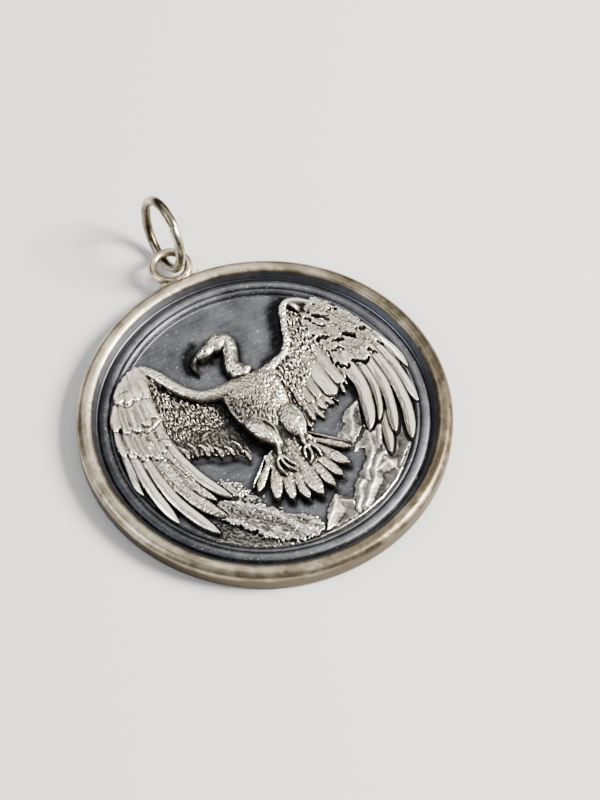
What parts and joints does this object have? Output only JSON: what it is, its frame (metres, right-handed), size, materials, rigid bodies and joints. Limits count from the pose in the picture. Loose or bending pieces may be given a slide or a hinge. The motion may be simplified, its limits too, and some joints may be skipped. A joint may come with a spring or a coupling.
{
  "type": "challenge coin",
  "caption": "Round cast medal with a stepped dark recess, a raised vulture over mountains, a soldered edge eyelet and a swinging wire jump ring.",
  "frame": {"origin": "centre of the medal's flat back", "axes": "+Z out of the relief side, +Y towards the eyelet, +X to the right of the bird picture"},
  "size_m": [0.0414, 0.0505, 0.0095],
  "materials": {
    "rim": "pale nickel silver, tumbled and lightly worn",
    "field": "blackened satin",
    "landscape": "blackened with rubbed edges",
    "vulture": "blackened recesses with polished high spots",
    "eyelet": "pale nickel silver, satin",
    "jump_ring": "drawn wire, bright"
  },
  "bodies": {
    "medal": {"rim_ring": "rim", "field_plate": "field", "mountain_relief_left": "landscape", "mountain_relief_right": "landscape", "vulture_relief": "vulture", "eyelet": "eyelet"},
    "jump_ring": {"jump_ring": "jump_ring"}
  },
  "joints": [
    {"name": "jump_ring_swing", "type": "hinge", "parent": "medal", "child": "jump_ring", "pos_m": [0.0006, 0.0247, 0.002], "axis": [-1, 0, 0], "range_deg": [0, 144]}
  ]
}
